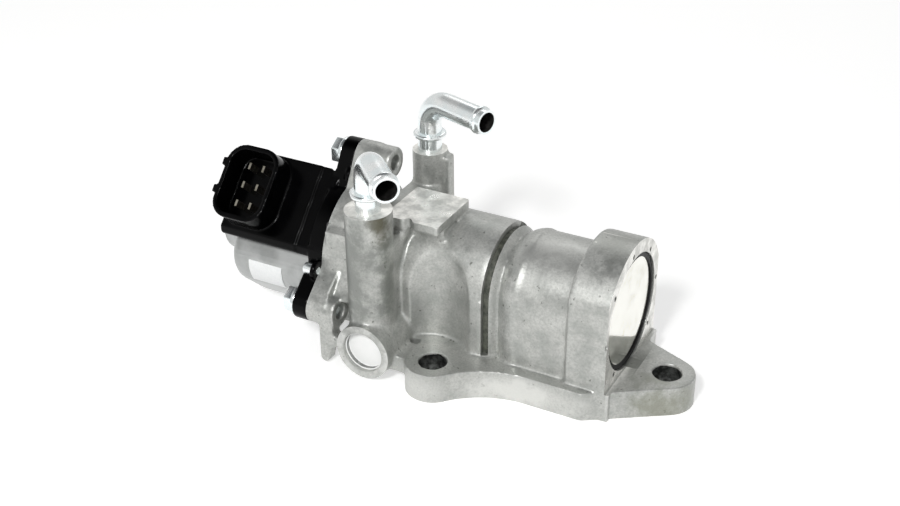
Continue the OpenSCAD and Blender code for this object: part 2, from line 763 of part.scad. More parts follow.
module poppet_valve() {
    back = seat_front_x - seat_chamfer + seat_gap;
    front = seat_front_x + seat_gap + head_edge;
    rim = seat_r + seat_chamfer;
    color("slategray") turned() polygon([
        [0, spring_seat_back_x], [stem_r, spring_seat_back_x], [stem_r, back - 3], [stem_r + 1.2, back - 1],
        [seat_r, back], [rim, seat_front_x + seat_gap], [rim, front], [rim - 3, front - 0.6], [0, front - 0.6]
    ]);
}

module stem_guide() {
    color("peru") ring_x(seal_front_x, guide_front_x, guide_r, stem_r + run_gap);
}

module stem_seal() {
    color("saddlebrown") turned() difference() {
        translate([stem_r + run_gap, retainer_front_x]) square([seal_r - stem_r - run_gap, seal_t]);
        translate([stem_r + 1.2, retainer_front_x + 1]) square([seal_r - stem_r - 2.4, seal_t]);
    }
}

module seal_retainer() {
    color("lightgray") ring_x(chamber_x, retainer_front_x, seal_r, stem_r + 1);
}

// Coil of round wire about the bore axis between two positions
module return_spring() {
    steps = 16;
    sides = 8;
    wire = spring_wire / 2;
    start = spring_seat_x + wire;
    length = chamber_x - wire - start;
    count = spring_turns * steps;
    function slant(t) = start + length * min(max((t - 0.75) / (spring_turns - 1.5), 0), 1);
    function at(t, a) =
        let (r = spring_r + wire * cos(a)) [slant(t) + wire * sin(a), r * cos(360 * t), r * sin(360 * t)];
    points = [for (i = [0:count], j = [0:sides - 1]) at(i / steps, 360 * j / sides)];
    walls = [for (i = [0:count - 1], j = [0:sides - 1])
        let (k = (j + 1) % sides) [i * sides + j, i * sides + k, (i + 1) * sides + k, (i + 1) * sides + j]];
    first = [for (j = [sides - 1:-1:0]) j];
    last = [for (j = [0:sides - 1]) count * sides + j];
    color("darkgray") translate([0, 0, axis_z]) polyhedron(points, concat([first], walls, [last]));
}

module spring_seat() {
    rim = spring_r + spring_wire / 2 + 0.8;
    color("lightgray") turned() difference() {
        translate([stem_r, spring_seat_back_x]) square([rim - stem_r, spring_seat_t + 1]);
        translate([stem_r + 2, spring_seat_x]) square([rim - stem_r - 2.7, 3]);
        translate([0, spring_seat_x]) square([stem_r + 3, 3]);
    }
}

module lead_screw() {
    tip = spring_seat_back_x;
    color("silver") {
        along_x(tip - screw_rod_len) cylinder(r = screw_rod_r, h = screw_rod_len - screw_flat_len);
        along_x(tip - screw_flat_len) linear_extrude(screw_flat_len) intersection() {
            circle(screw_rod_r);
            square([4 * screw_rod_r, 2 * screw_flat], center = true);
        }
    }
}

module rotor_nut() {
    front_x = cover_back_x - 0.2;
    shoulder_x = plate_back_x - 0.3;
    bore_end_x = spring_seat_back_x - screw_rod_len - 1;
    color("wheat") turned() difference() {
        union() {
            translate([0, rotor_back_x]) square([journal_r, front_x - rotor_back_x]);
            translate([0, rotor_back_x]) square([rotor_r, shoulder_x - rotor_back_x]);
            translate([0, can_end_x - rear_bearing_len + 0.5]) square([rear_shaft_r, rear_bearing_len + 3.5]);
        }
        translate([0, bore_end_x]) square([screw_rod_r + run_gap, front_x - bore_end_x + 1]);
    }
}

module rotor_magnet() {
    color("dimgray") ring_x(rotor_back_x + 1.2, plate_back_x - 1, magnet_r, rotor_r);
}

module front_bearing() {
    color("peru") ring_x(plate_back_x, cover_back_x, bearing_r, journal_r + run_gap);
}

module rear_bearing() {
    color("peru") ring_x(can_end_x - rear_bearing_len, can_end_x + can_wall, rear_bearing_r, rear_shaft_r + run_gap);
}

module wave_washer() {
    x = can_end_x + can_wall;
    color("lightgray") ring_x(x, rotor_back_x - 0.1, rotor_r - 0.6, rear_shaft_r + 0.3);
}

module front_plate() {
    color("gray") ring_x(plate_back_x, cover_back_x, stator_r, bearing_r);
}

// Stator cup, open towards the middle of the motor
module yoke(x, closed_end_x) {
    color("slategray") difference() {
        ring_x(x, x + yoke_len, stator_r, stator_bore_r);
        ring_x(closed_end_x, closed_end_x + yoke_len, stator_r - yoke_wall, stator_bore_r + yoke_wall);
    }
}

module front_yoke() {
    yoke(plate_back_x - yoke_len, plate_back_x - yoke_len - yoke_wall);
}

module rear_yoke() {
    yoke(stator_back_x, stator_back_x + yoke_wall);
}

module coil(x) {
    color("chocolate") ring_x(x, x + yoke_len - yoke_wall, stator_r - yoke_wall, stator_bore_r + yoke_wall);
}

module front_coil() {
    coil(plate_back_x - yoke_len);
}

module rear_coil() {
    coil(stator_back_x + yoke_wall);
}

// Outer shape of the can, with its rounded end
module can_shape() {
    hull()
        for (sy = [-1, 1], sz = [-1, 1])
            translate([can_end_x + can_edge, can_shift_w + sy * (can_half_w - can_corner),
                       can_shift_h + sz * (can_half_h - can_corner)])
                rotate([0, 90, 0]) {
                    cylinder(r = can_corner, h = can_len - can_edge, $fn = 48);
                    rotate_extrude($fn = 48) translate([can_corner - can_edge, 0]) intersection() {
                        circle(can_edge, $fn = 32);
                        translate([0, -can_edge]) square(2 * can_edge);
                    }
                }
}

// Hollow of the can, smaller than its outline by the value inset, from position x to past the mouth
module can_hollow(x, inset) {
    translate([x, can_shift_w, can_shift_h]) rotate([90, 0, 90]) linear_extrude(cover_back_x - x + 1)
        rounded_rect(2 * (can_half_w - inset), 2 * (can_half_h - inset), can_corner - inset);
}

module motor_can() {
    hub_edge = 1.5;
    color("lightgray") difference() {
        deck_frame() {
            can_shape();
            translate([hub_end_x, hub_shift_w, hub_shift_h]) rotate([0, 90, 0]) rotate_extrude() {
                translate([0, hub_edge]) square([hub_r, hub_len]);
                square([hub_r - hub_edge, hub_len]);
                translate([hub_r - hub_edge, hub_edge]) circle(hub_edge);
            }
        }
        deck_frame() {
            can_hollow(can_end_x + can_wall, can_wall + 0.4 * can_edge);
            can_hollow(can_end_x + 0.65 * can_edge, can_wall);
        }
        along_x(can_end_x - rear_bearing_len) cylinder(r = rear_bearing_r, h = rear_bearing_len + 2);
    }
}

// Bare sticker that wraps round the near edge of the can
module can_label() {
    color("white") deck_frame()
        translate([label_x, can_shift_w, can_shift_h]) rotate([90, 0, 90])
            linear_extrude(label_len) intersection() {
                difference() {
                    rounded_rect(2 * (can_half_w + label_t), 2 * (can_half_h + label_t), can_corner + label_t);
                    rounded_rect(2 * can_half_w, 2 * can_half_h, can_corner);
                }
                translate([-can_half_w - 1, label_low]) square([label_reach + 1, label_h]);
            }
}

// Section of the deck, with its near edge sloped out to the underside
module deck_section(top) {
    polygon([[deck_near, top], [deck_near - deck_slope, top - deck_slope],
             [deck_near - deck_slope, deck_z - deck_t], [deck_far, deck_z - deck_t], [deck_far, top]]);
}

module shroud_outline(inset) {
    rounded_rect(shroud_len - 2 * inset, shroud_w - 2 * inset, shroud_corner - inset);
}

module connector_shroud() {
    translate([shroud_x, shroud_y, deck_z - 1]) {
        difference() {
            linear_extrude(shroud_h + 1) shroud_outline(0);
            translate([0, 0, 1.8]) linear_extrude(shroud_h + 1) shroud_outline(shroud_wall);
        }
        for (y = [-4, 5.5]) translate([-shroud_len / 2 - 1.4, y - 1.3, 2]) cube([2.4, 2.6, shroud_h - 1]);
    }
}

module motor_cover() {
    deck_mid = (deck_near + deck_far) / 2;
    can_top = can_half_h + can_shift_h;
    color([0.06, 0.06, 0.07]) difference() {
        union() {
            along_x(cover_back_x) linear_extrude(cover_flange_t) {
                eared_outline(motor_flange_r);
            }
            along_x(motor_face_x - rivet_lug_t) linear_extrude(rivet_lug_t)
                for (a = rivet_angles) translate(polar(rivet_pcr, a)) circle(rivet_r + 1.3);
            deck_frame() {
                translate([deck_end_x, 0, 0]) rotate([90, 0, 90])
                    linear_extrude(cover_back_x - deck_step_x - deck_end_x) deck_section(deck_z);
                translate([cover_back_x - deck_step_x - cut, 0, 0]) rotate([90, 0, 90])
                    linear_extrude(deck_step_x + 2) deck_section(deck_z - deck_step);
                translate([deck_end_x + 3, deck_near + 2, can_top])
                    cube([cover_back_x - deck_end_x - 2, 14, deck_z - can_top - 1]);
                translate([cover_back_x - deck_step_x + 1, deck_near + 0.5, can_top])
                    cube([deck_step_x, deck_far - deck_near - 1, deck_t]);
                connector_shroud();
            }
        }
        along_x(cover_back_x - 1) {
            linear_extrude(cover_flange_t) intersection() {
                circle(screw_rod_r + run_gap);
                square([4 * screw_rod_r, 2 * (screw_flat + run_gap)], center = true);
            }
            for (t = screw_angles) rotate(t) translate([screw_pcr, 0])
                cylinder(r = screw_r, h = cover_flange_t + 2);
        }
        along_x(motor_face_x - rivet_lug_t) for (a = rivet_angles) translate(polar(rivet_pcr, a)) {
            cylinder(r = rivet_r - 0.7, h = rivet_lug_t + 1);
            translate([0, 0, -cover_flange_t]) cylinder(r = rivet_r, h = cover_flange_t);
        }
        along_x(motor_face_x - cover_recess) cylinder(r = spring_chamber_r, h = cover_recess + 1);
        ring_x(motor_face_x - gasket_t, motor_face_x + 1, gasket_r + 0.9 * gasket_t, gasket_r - 0.9 * gasket_t);
    }
}

module terminals() {
    color("goldenrod") deck_frame()
        for (row = [-1, 1], i = [-1:1])
            translate([shroud_x + row * pin_row / 2 - pin_t / 2, shroud_y + i * pin_pitch - pin_w / 2,
                       deck_z + 0.8])
                cube([pin_t, pin_w, shroud_h - 0.8 - pin_inset]);
}

module cover_gasket() {
    color("black") turned() translate([gasket_r, motor_face_x - gasket_t / 2]) circle(gasket_t / 2);
}

module cover_screws() {
    color("silver") along_x(cover_back_x)
        for (t = screw_angles) rotate(t) translate([screw_pcr, 0]) {
            cylinder(r = screw_r, h = screw_len);
            translate([0, 0, -screw_flange_t]) cylinder(r = screw_flange_r, h = screw_flange_t);
            translate([0, 0, -screw_head_h]) linear_extrude(screw_head_h - screw_flange_t + cut)
                circle(screw_af / sqrt(3), $fn = 6);
        }
}

module cover_rivets() {
    color("gainsboro") along_x(motor_face_x - rivet_lug_t)
        for (a = rivet_angles) translate(polar(rivet_pcr, a)) {
            translate([0, 0, -rivet_h]) cylinder(r = rivet_r, h = rivet_h);
            cylinder(r = rivet_r - 0.7, h = rivet_lug_t);
        }
}

valve_body();
end_plug();
end_plug_seal();
core_plug();
front_coolant_tube();
rear_coolant_tube();
valve_seat();
poppet_valve();
stem_guide();
stem_seal();
seal_retainer();
return_spring();
spring_seat();
lead_screw();
rotor_nut();
rotor_magnet();
front_bearing();
rear_bearing();
wave_washer();
front_plate();
front_yoke();
rear_yoke();
front_coil();
rear_coil();
motor_can();
can_label();
motor_cover();
terminals();
cover_gasket();
cover_screws();
cover_rivets();
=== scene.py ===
import json
from math import cos, radians, sin, sqrt

import bpy
from mathutils import Matrix, Vector


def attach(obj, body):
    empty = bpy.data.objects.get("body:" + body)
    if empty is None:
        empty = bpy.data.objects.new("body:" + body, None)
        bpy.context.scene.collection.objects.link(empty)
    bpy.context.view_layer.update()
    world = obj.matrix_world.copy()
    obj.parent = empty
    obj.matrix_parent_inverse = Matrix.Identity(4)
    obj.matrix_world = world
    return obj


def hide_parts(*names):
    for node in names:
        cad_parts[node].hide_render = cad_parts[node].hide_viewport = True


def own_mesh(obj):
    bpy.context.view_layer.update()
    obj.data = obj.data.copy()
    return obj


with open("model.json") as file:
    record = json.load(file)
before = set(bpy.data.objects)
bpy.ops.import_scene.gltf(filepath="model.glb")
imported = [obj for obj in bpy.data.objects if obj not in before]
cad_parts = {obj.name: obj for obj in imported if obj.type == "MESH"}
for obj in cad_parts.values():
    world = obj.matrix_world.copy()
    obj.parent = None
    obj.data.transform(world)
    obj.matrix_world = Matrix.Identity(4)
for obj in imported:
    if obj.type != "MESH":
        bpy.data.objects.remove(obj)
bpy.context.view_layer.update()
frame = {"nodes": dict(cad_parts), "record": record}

# Camera: the valve is photographed from its near side, a little from the plugged end and from above.
# The place, turn and lens follow from fitting the solids to the photograph.
VIEW_TURN = radians(28.47)
VIEW_RISE = radians(29.92)
VIEW_ROLL = radians(-0.57)
VIEW_DISTANCE = 0.41565
VIEW_TARGET = Vector((-0.04277, -0.00747, 0.03693))
VIEW_LENS = 52.805


def view_direction(turn, rise):
    return Vector((sin(turn) * cos(rise), -cos(turn) * cos(rise), sin(rise)))


bpy.ops.object.select_all(action="DESELECT")
bpy.ops.object.camera_add()
camera = bpy.context.object
camera.name = "photo_camera"
back = view_direction(VIEW_TURN, VIEW_RISE)
level = Vector((cos(VIEW_TURN), sin(VIEW_TURN), 0))
upright = back.cross(level)
right = level * cos(VIEW_ROLL) + upright * sin(VIEW_ROLL)
top = upright * cos(VIEW_ROLL) - level * sin(VIEW_ROLL)
camera.matrix_world = Matrix.Translation(VIEW_TARGET + back * VIEW_DISTANCE) @ Matrix((
    (right.x, top.x, back.x, 0),
    (right.y, top.y, back.y, 0),
    (right.z, top.z, back.z, 0),
    (0, 0, 0, 1),
))
camera.data.lens = VIEW_LENS
camera.data.sensor_width = 36
camera.data.clip_start = 0.01
bpy.context.scene.camera = camera
bpy.context.scene.view_settings.view_transform = "Standard"


# Floor: a large plain white table top, white to the camera where no shadow falls.
# It is part of the studio and lies under the mounting face of the flange.
FLOOR_SIZE = 6
FLOOR_WHITE = (0.86, 0.86, 0.855, 1)
FLOOR_GLOW = 0.46


def add_node(tree, kind, **values):
    node = tree.nodes.new(kind)
    for key, value in values.items():
        if key in node.inputs:
            node.inputs[key].default_value = value
        else:
            setattr(node, key, value)
    return node


def new_material(name):
    material = bpy.data.materials.new(name)
    material.use_nodes = True
    material.node_tree.nodes.clear()
    output = material.node_tree.nodes.new("ShaderNodeOutputMaterial")
    return material, material.node_tree, output


bpy.ops.mesh.primitive_plane_add(size=FLOOR_SIZE, location=(0, 0, -0.0002))
floor = bpy.context.object
floor.name = "table_top"
floor_paint, tree, output = new_material("table_white")
paper = add_node(tree, "ShaderNodeBsdfDiffuse", Color=FLOOR_WHITE)
glow = add_node(tree, "ShaderNodeEmission", Color=(1, 1, 1, 1))
seen = add_node(tree, "ShaderNodeLightPath")
seen_or_mirrored = add_node(tree, "ShaderNodeMath", operation="MAXIMUM")
glow_level = add_node(tree, "ShaderNodeMath", operation="MULTIPLY")
glow_level.inputs[1].default_value = FLOOR_GLOW
both = add_node(tree, "ShaderNodeAddShader")
tree.links.new(seen.outputs["Is Camera Ray"], seen_or_mirrored.inputs[0])
tree.links.new(seen.outputs["Is Glossy Ray"], seen_or_mirrored.inputs[1])
tree.links.new(seen_or_mirrored.outputs[0], glow_level.inputs[0])
tree.links.new(glow_level.outputs[0], glow.inputs["Strength"])
tree.links.new(paper.outputs[0], both.inputs[0])
tree.links.new(glow.outputs[0], both.inputs[1])
tree.links.new(both.outputs[0], output.inputs["Surface"])
floor.data.materials.append(floor_paint)


# Light: a bright head left of the camera and above it, a weak one behind for the tops, and a paper room.
# The paper is white all round the horizon and stops overhead, where the room is dark.
KEY_TURN = radians(7)
KEY_RISE = radians(42)
KEY_DISTANCE = 0.85
KEY_SIZE = 0.14
KEY_POWER = 3.6
BACK_TURN = radians(200)
BACK_RISE = radians(44)
BACK_DISTANCE = 0.9
BACK_SIZE = 0.5
BACK_POWER = 0.7
PAPER_BRIGHT = (0.70, 0.70, 0.695, 1)
PAPER_TOP = 0.56
ROOM_DARK = (0.05, 0.052, 0.056, 1)
ROOM_DARK_FROM = 0.86


def add_lamp(name, place, size, power):
    bpy.ops.object.light_add(type="AREA", location=place)
    lamp = bpy.context.object
    lamp.name = name
    lamp.rotation_euler = (place - VIEW_TARGET).to_track_quat("Z", "Y").to_euler()
    lamp.data.shape = "DISK"
    lamp.data.size = size
    lamp.data.energy = power
    return lamp


key_place = VIEW_TARGET + view_direction(KEY_TURN, KEY_RISE) * KEY_DISTANCE
back_place = VIEW_TARGET + view_direction(BACK_TURN, BACK_RISE) * BACK_DISTANCE
add_lamp("key_light", key_place, KEY_SIZE, KEY_POWER)
add_lamp("back_light", back_place, BACK_SIZE, BACK_POWER)

room = bpy.data.worlds.new("paper_room")
bpy.context.scene.world = room
room.use_nodes = True
tree = room.node_tree
tree.nodes.clear()
output = tree.nodes.new("ShaderNodeOutputWorld")
direction = add_node(tree, "ShaderNodeTexCoord")
upward = tree.nodes.new("ShaderNodeSeparateXYZ")
bands = add_node(tree, "ShaderNodeValToRGB")
bands.color_ramp.elements[0].position = PAPER_TOP
bands.color_ramp.elements[0].color = PAPER_BRIGHT
bands.color_ramp.elements[1].position = ROOM_DARK_FROM
bands.color_ramp.elements[1].color = ROOM_DARK
seen = add_node(tree, "ShaderNodeLightPath")
light_sky = add_node(tree, "ShaderNodeBackground")
white_sky = add_node(tree, "ShaderNodeBackground", Color=(1, 1, 1, 1))
sky = add_node(tree, "ShaderNodeMixShader")
tree.links.new(direction.outputs["Generated"], upward.inputs[0])
tree.links.new(upward.outputs["Z"], bands.inputs[0])
tree.links.new(bands.outputs[0], light_sky.inputs["Color"])
tree.links.new(seen.outputs["Is Camera Ray"], sky.inputs[0])
tree.links.new(light_sky.outputs[0], sky.inputs[1])
tree.links.new(white_sky.outputs[0], sky.inputs[2])
tree.links.new(sky.outputs[0], output.inputs["Surface"])


# Valve body: one aluminium casting with soft edges and a fine grain, then machined.
# Its flange, pad, end, column tops and motor flange are faced, and its holes are bored to size.
BODY_VOXEL = 0.00054
BODY_SOFTEN = 7
BODY_KEEP = 0.36
STOCK = 0.0015
AXIS_Z = 0.02815
END_FACE_X = 0.016
MOTOR_FACE_X = -0.0815
PAD_Z = 0.051
COLUMN_Z = 0.0565
PLUG_BOSS_Y = -0.0344
FLANGE_Z = 0.00975
FRONT_COLUMN = (-0.0613, -0.0251)
REAR_COLUMN = (-0.0653, 0.021)
SLOT_START = -0.0262
SLOT_END = -0.0240
SLOT_FLOOR_R = 0.0169
BOLT_HOLES = [(-0.0383, -0.02775), (-0.0383, 0.02775), (0.0286, 0)]
BOLT_HOLE_R = 0.0045
SCREW_CIRCLE = 0.0295
SCREW_ANGLES = [radians(80.5 + 120 * i) for i in range(3)]
SCREW_HOLE_R = 0.0025
SCREW_HOLE_DEPTH = 0.0135
TUBE_SEAT_R = 0.004
TUBE_SEAT_DEPTH = 0.008
CORE_PLUG_R = 0.007
CORE_PLUG_X = -0.060
CORE_PLUG_Z = 0.0099
CORE_SEAT_DEPTH = 0.0057
STAKE_CIRCLE = 0.020
STAKE_ANGLES = [radians(5 + 45 * i) for i in range(8)]
STAKE_R = 0.0008
STAKE_DEPTH = 0.0006
# Room that a drill or cutter starts outside the face it enters
CLEAR = 0.001
# Gas ports in the flange: place along the valve and radius, and how deep they are bored
PORTS = [(0, 0.009), (-0.036, 0.0095)]
PORT_DEPTH = 0.02415
# Each faced surface: axis, place on it, side, and the corners of the cutter that faces it
FACINGS = [
    (0, END_FACE_X, 1, (END_FACE_X, -0.03, FLANGE_Z), (0.02, 0.03, 0.06)),
    (0, MOTOR_FACE_X, -1, (-0.09, -0.06, -0.01), (MOTOR_FACE_X, 0.06, 0.09)),
    (1, PLUG_BOSS_Y, -1, (-0.075, -0.04, -0.005), (-0.0475, PLUG_BOSS_Y, 0.03)),
    (2, 0.0, -1, (-0.09, -0.06, -0.01), (0.05, 0.06, 0.0)),
    (2, PAD_Z, 1, (-0.0635, -0.019, PAD_Z), (-0.040, 0.006, 0.055)),
    (2, COLUMN_Z, 1, (-0.071, -0.034, COLUMN_Z), (-0.052, -0.016, 0.062)),
    (2, COLUMN_Z, 1, (-0.073, 0.0135, COLUMN_Z), (-0.057, 0.029, 0.062)),
]
# Each bore along the valve: start, end and radius
BORES = [
    (0.0095, 0.02, 0.0187), (-0.016, 0.0105, 0.015), (-0.048, -0.0155, 0.0115),
    (-0.0595, -0.0475, 0.0055), (-0.062, -0.058, 0.008), (-0.0835, -0.062, 0.0105),
]


def only(piece):
    if bpy.context.object and bpy.context.object.mode != "OBJECT":
        bpy.ops.object.mode_set(mode="OBJECT")
    bpy.ops.object.select_all(action="DESELECT")
    piece.select_set(True)
    bpy.context.view_layer.objects.active = piece


def merged_copy(node, name):
    piece = bpy.data.objects.new(name, frame["nodes"][node].data.copy())
    bpy.context.scene.collection.objects.link(piece)
    only(piece)
    bpy.ops.mesh.customdata_custom_splitnormals_clear()
    bpy.ops.object.mode_set(mode="EDIT")
    bpy.ops.mesh.select_all(action="SELECT")
    bpy.ops.mesh.remove_doubles(threshold=0.000004)
    bpy.ops.object.mode_set(mode="OBJECT")
    piece.data.materials.clear()
    return piece


def pick_faces(piece, wanted):
    only(piece)
    bpy.ops.object.mode_set(mode="EDIT")
    bpy.ops.mesh.select_mode(type="FACE")
    bpy.ops.mesh.select_all(action="DESELECT")
    bpy.ops.object.mode_set(mode="OBJECT")
    for face in piece.data.polygons:
        face.select = wanted(face)
    bpy.ops.object.mode_set(mode="EDIT")


def apply_modifier(piece, kind, **values):
    only(piece)
    modifier = piece.modifiers.new(kind.lower(), kind)
    for key, value in values.items():
        setattr(modifier, key, value)
    bpy.ops.object.modifier_apply(modifier=modifier.name)


def add_stock(piece, axis, place, side):
    pick_faces(piece, lambda face: face.normal[axis] * side > 0.999
               and abs(face.center[axis] - place) < 2e-5)
    step = [0, 0, 0]
    step[axis] = side * STOCK
    bpy.ops.mesh.extrude_region_move(TRANSFORM_OT_translate={"value": step})
    bpy.ops.object.mode_set(mode="OBJECT")


def cast_softly(piece, voxel, softening, keep):
    apply_modifier(piece, "REMESH", mode="VOXEL", voxel_size=voxel)
    apply_modifier(piece, "SMOOTH", factor=0.5, iterations=softening)
    if keep < 1:
        apply_modifier(piece, "DECIMATE", ratio=keep)


def cut(piece, cutter):
    apply_modifier(piece, "BOOLEAN", operation="DIFFERENCE", solver="MANIFOLD", object=cutter)
    bpy.data.objects.remove(cutter)


def block(low, high):
    bpy.ops.object.select_all(action="DESELECT")
    low = Vector(low)
    high = Vector(high)
    bpy.ops.mesh.primitive_cube_add(size=1, location=(low + high) / 2, scale=high - low)
    return bpy.context.object


def rod(start, along, radius, length, sides=96):
    bpy.ops.object.select_all(action="DESELECT")
    along = Vector(along)
    bpy.ops.mesh.primitive_cylinder_add(
        vertices=sides, radius=radius, depth=length, location=Vector(start) + along * length / 2,
        rotation=along.to_track_quat("Z", "Y").to_euler())
    return bpy.context.object


def around_axis(x, radius, angle):
    return Vector((x, radius * cos(angle), AXIS_Z + radius * sin(angle)))


def arched_slot(start, end, depth_radius):
    """Cuts a slot round the tunnel-shaped wall of the barrel, down to an arch of depth_radius."""
    cutter = block((start, -0.03, FLANGE_Z + 0.0004), (end, 0.03, 0.06))
    cut(cutter, rod((start - CLEAR, 0, AXIS_Z), (1, 0, 0), depth_radius, end - start + 2 * CLEAR))
    cut(cutter, block((start - CLEAR, -depth_radius, 0), (end + CLEAR, depth_radius, AXIS_Z)))
    cut(body, cutter)


body = merged_copy("valve_body", "cast_valve_body")
stocked = []
for axis, place, side, low, high in FACINGS:
    if (axis, place) not in stocked:
        add_stock(body, axis, place, side)
        stocked.append((axis, place))
cast_softly(body, BODY_VOXEL, BODY_SOFTEN, BODY_KEEP)
for axis, place, side, low, high in FACINGS:
    cut(body, block(low, high))
arched_slot(SLOT_START, SLOT_END, SLOT_FLOOR_R)
for start, end, radius in BORES:
    cut(body, rod((start, 0, AXIS_Z), (1, 0, 0), radius, end - start))
for x, radius in PORTS:
    cut(body, rod((x, 0, -CLEAR), (0, 0, 1), radius, PORT_DEPTH + CLEAR))
for x, y in BOLT_HOLES:
    cut(body, rod((x, y, -CLEAR), (0, 0, 1), BOLT_HOLE_R, FLANGE_Z + 1.5 * CLEAR))
for angle in SCREW_ANGLES:
    start = around_axis(MOTOR_FACE_X - CLEAR, SCREW_CIRCLE, angle)
    cut(body, rod(start, (1, 0, 0), SCREW_HOLE_R, SCREW_HOLE_DEPTH + CLEAR))
for x, y in (FRONT_COLUMN, REAR_COLUMN):
    start = (x, y, COLUMN_Z - TUBE_SEAT_DEPTH)
    cut(body, rod(start, (0, 0, 1), TUBE_SEAT_R, TUBE_SEAT_DEPTH + 2 * CLEAR))
cut(body, rod((CORE_PLUG_X, PLUG_BOSS_Y + CORE_SEAT_DEPTH, CORE_PLUG_Z), (0, -1, 0), CORE_PLUG_R,
              CORE_SEAT_DEPTH + CLEAR))
for angle in STAKE_ANGLES:
    start = around_axis(END_FACE_X - STAKE_DEPTH, STAKE_CIRCLE, angle)
    cut(body, rod(start, (1, 0, 0), STAKE_R, STAKE_DEPTH + CLEAR, 24))
only(body)
bpy.ops.object.shade_smooth_by_angle(angle=radians(35))


def new_group(name, inputs, outputs):
    group = bpy.data.node_groups.new(name, "ShaderNodeTree")
    for label, kind, value in inputs:
        socket = group.interface.new_socket(label, in_out="INPUT", socket_type=kind)
        if value is not None:
            socket.default_value = value
    for label, kind in outputs:
        group.interface.new_socket(label, in_out="OUTPUT", socket_type=kind)
    return group, group.nodes.new("NodeGroupInput"), group.nodes.new("NodeGroupOutput")


def mix_colour(tree, share, first, second, blend="MIX"):
    """Mixes two colours, each a socket or a plain colour, by a socket or a number."""
    mix = tree.nodes.new("ShaderNodeMix")
    mix.data_type = "RGBA"
    mix.blend_type = blend
    for index, value in ((0, share), (6, first), (7, second)):
        if isinstance(value, bpy.types.NodeSocket):
            tree.links.new(value, mix.inputs[index])
        else:
            mix.inputs[index].default_value = value
    return mix.outputs[2]


def calculate(tree, operation, *values):
    node = tree.nodes.new("ShaderNodeMath")
    node.operation = operation
    for index, value in enumerate(values):
        if isinstance(value, bpy.types.NodeSocket):
            tree.links.new(value, node.inputs[index])
        else:
            node.inputs[index].default_value = value
    return node.outputs[0]


def spread(tree, value, low, high, to_low=0.0, to_high=1.0):
    node = add_node(tree, "ShaderNodeMapRange", interpolation_type="SMOOTHSTEP")
    tree.links.new(value, node.inputs["Value"])
    node.inputs["From Min"].default_value = low
    node.inputs["From Max"].default_value = high
    node.inputs["To Min"].default_value = to_low
    node.inputs["To Max"].default_value = to_high
    return node.outputs[0]


def noise(tree, place, size, detail=4.0, roughness=0.55):
    """Noise whose features are about size metres wide."""
    node = add_node(tree, "ShaderNodeTexNoise", Scale=1 / size, Detail=detail, Roughness=roughness)
    tree.links.new(place, node.inputs["Vector"])
    return node.outputs["Fac"]


# Die grain of a casting, its slow change of tone, fine speckle, and small dark pores
casting_grain, ins, outs = new_group(
    "casting_grain", [("Place", "NodeSocketVector", None)],
    [("Height", "NodeSocketFloat"), ("Tone", "NodeSocketFloat"), ("Speckle", "NodeSocketFloat"),
     ("Pores", "NodeSocketFloat")])
tree = casting_grain
fine = noise(tree, ins.outputs[0], 0.00035, 3.0)
coarse = noise(tree, ins.outputs[0], 0.0014, 3.0)
height = calculate(tree, "ADD", calculate(tree, "MULTIPLY", fine, 0.6), coarse)
tree.links.new(height, outs.inputs["Height"])
clouds = noise(tree, ins.outputs[0], 0.007, 6.0, 0.65)
specks = noise(tree, ins.outputs[0], 0.0007, 3.0, 0.7)
pits = noise(tree, ins.outputs[0], 0.0018, 2.0)
tree.links.new(spread(tree, clouds, 0.34, 0.66), outs.inputs["Tone"])
tree.links.new(spread(tree, specks, 0.35, 0.7), outs.inputs["Speckle"])
tree.links.new(spread(tree, pits, 0.67, 0.75), outs.inputs["Pores"])

# Worn bright edges and dull hollows, from how pointed the surface is
edge_wear, ins, outs = new_group(
    "edge_wear", [("Pointiness", "NodeSocketFloat", 0.5), ("Place", "NodeSocketVector", None)],
    [("Edge", "NodeSocketFloat"), ("Hollow", "NodeSocketFloat")])
tree = edge_wear
broken = noise(tree, ins.outputs[1], 0.004, 3.0)
worn = spread(tree, ins.outputs[0], 0.52, 0.60)
patchy = spread(tree, broken, 0.25, 0.55)
tree.links.new(calculate(tree, "MULTIPLY", worn, patchy), outs.inputs[0])
tree.links.new(spread(tree, ins.outputs[0], 0.485, 0.42), outs.inputs[1])

# Fine scratches in two directions and blotches
milled_face, ins, outs = new_group(
    "milled_face", [("Place", "NodeSocketVector", None)],
    [("Height", "NodeSocketFloat"), ("Blotch", "NodeSocketFloat")])
tree = milled_face
lanes = []
for turn, stretch in ((0.6, (1, 14, 1)), (-0.9, (12, 1, 1))):
    squeeze = add_node(tree, "ShaderNodeMapping", Rotation=(0, 0, turn), Scale=stretch)
    tree.links.new(ins.outputs[0], squeeze.inputs["Vector"])
    lanes.append(noise(tree, squeeze.outputs[0], 0.004, 4.0, 0.7))
tree.links.new(calculate(tree, "ADD", *lanes), outs.inputs[0])
tree.links.new(noise(tree, ins.outputs[0], 0.005, 4.0, 0.6), outs.inputs[1])


def use_group(tree, group, **links):
    node = tree.nodes.new("ShaderNodeGroup")
    node.node_tree = group
    for label, socket in links.items():
        tree.links.new(socket, node.inputs[label])
    return node


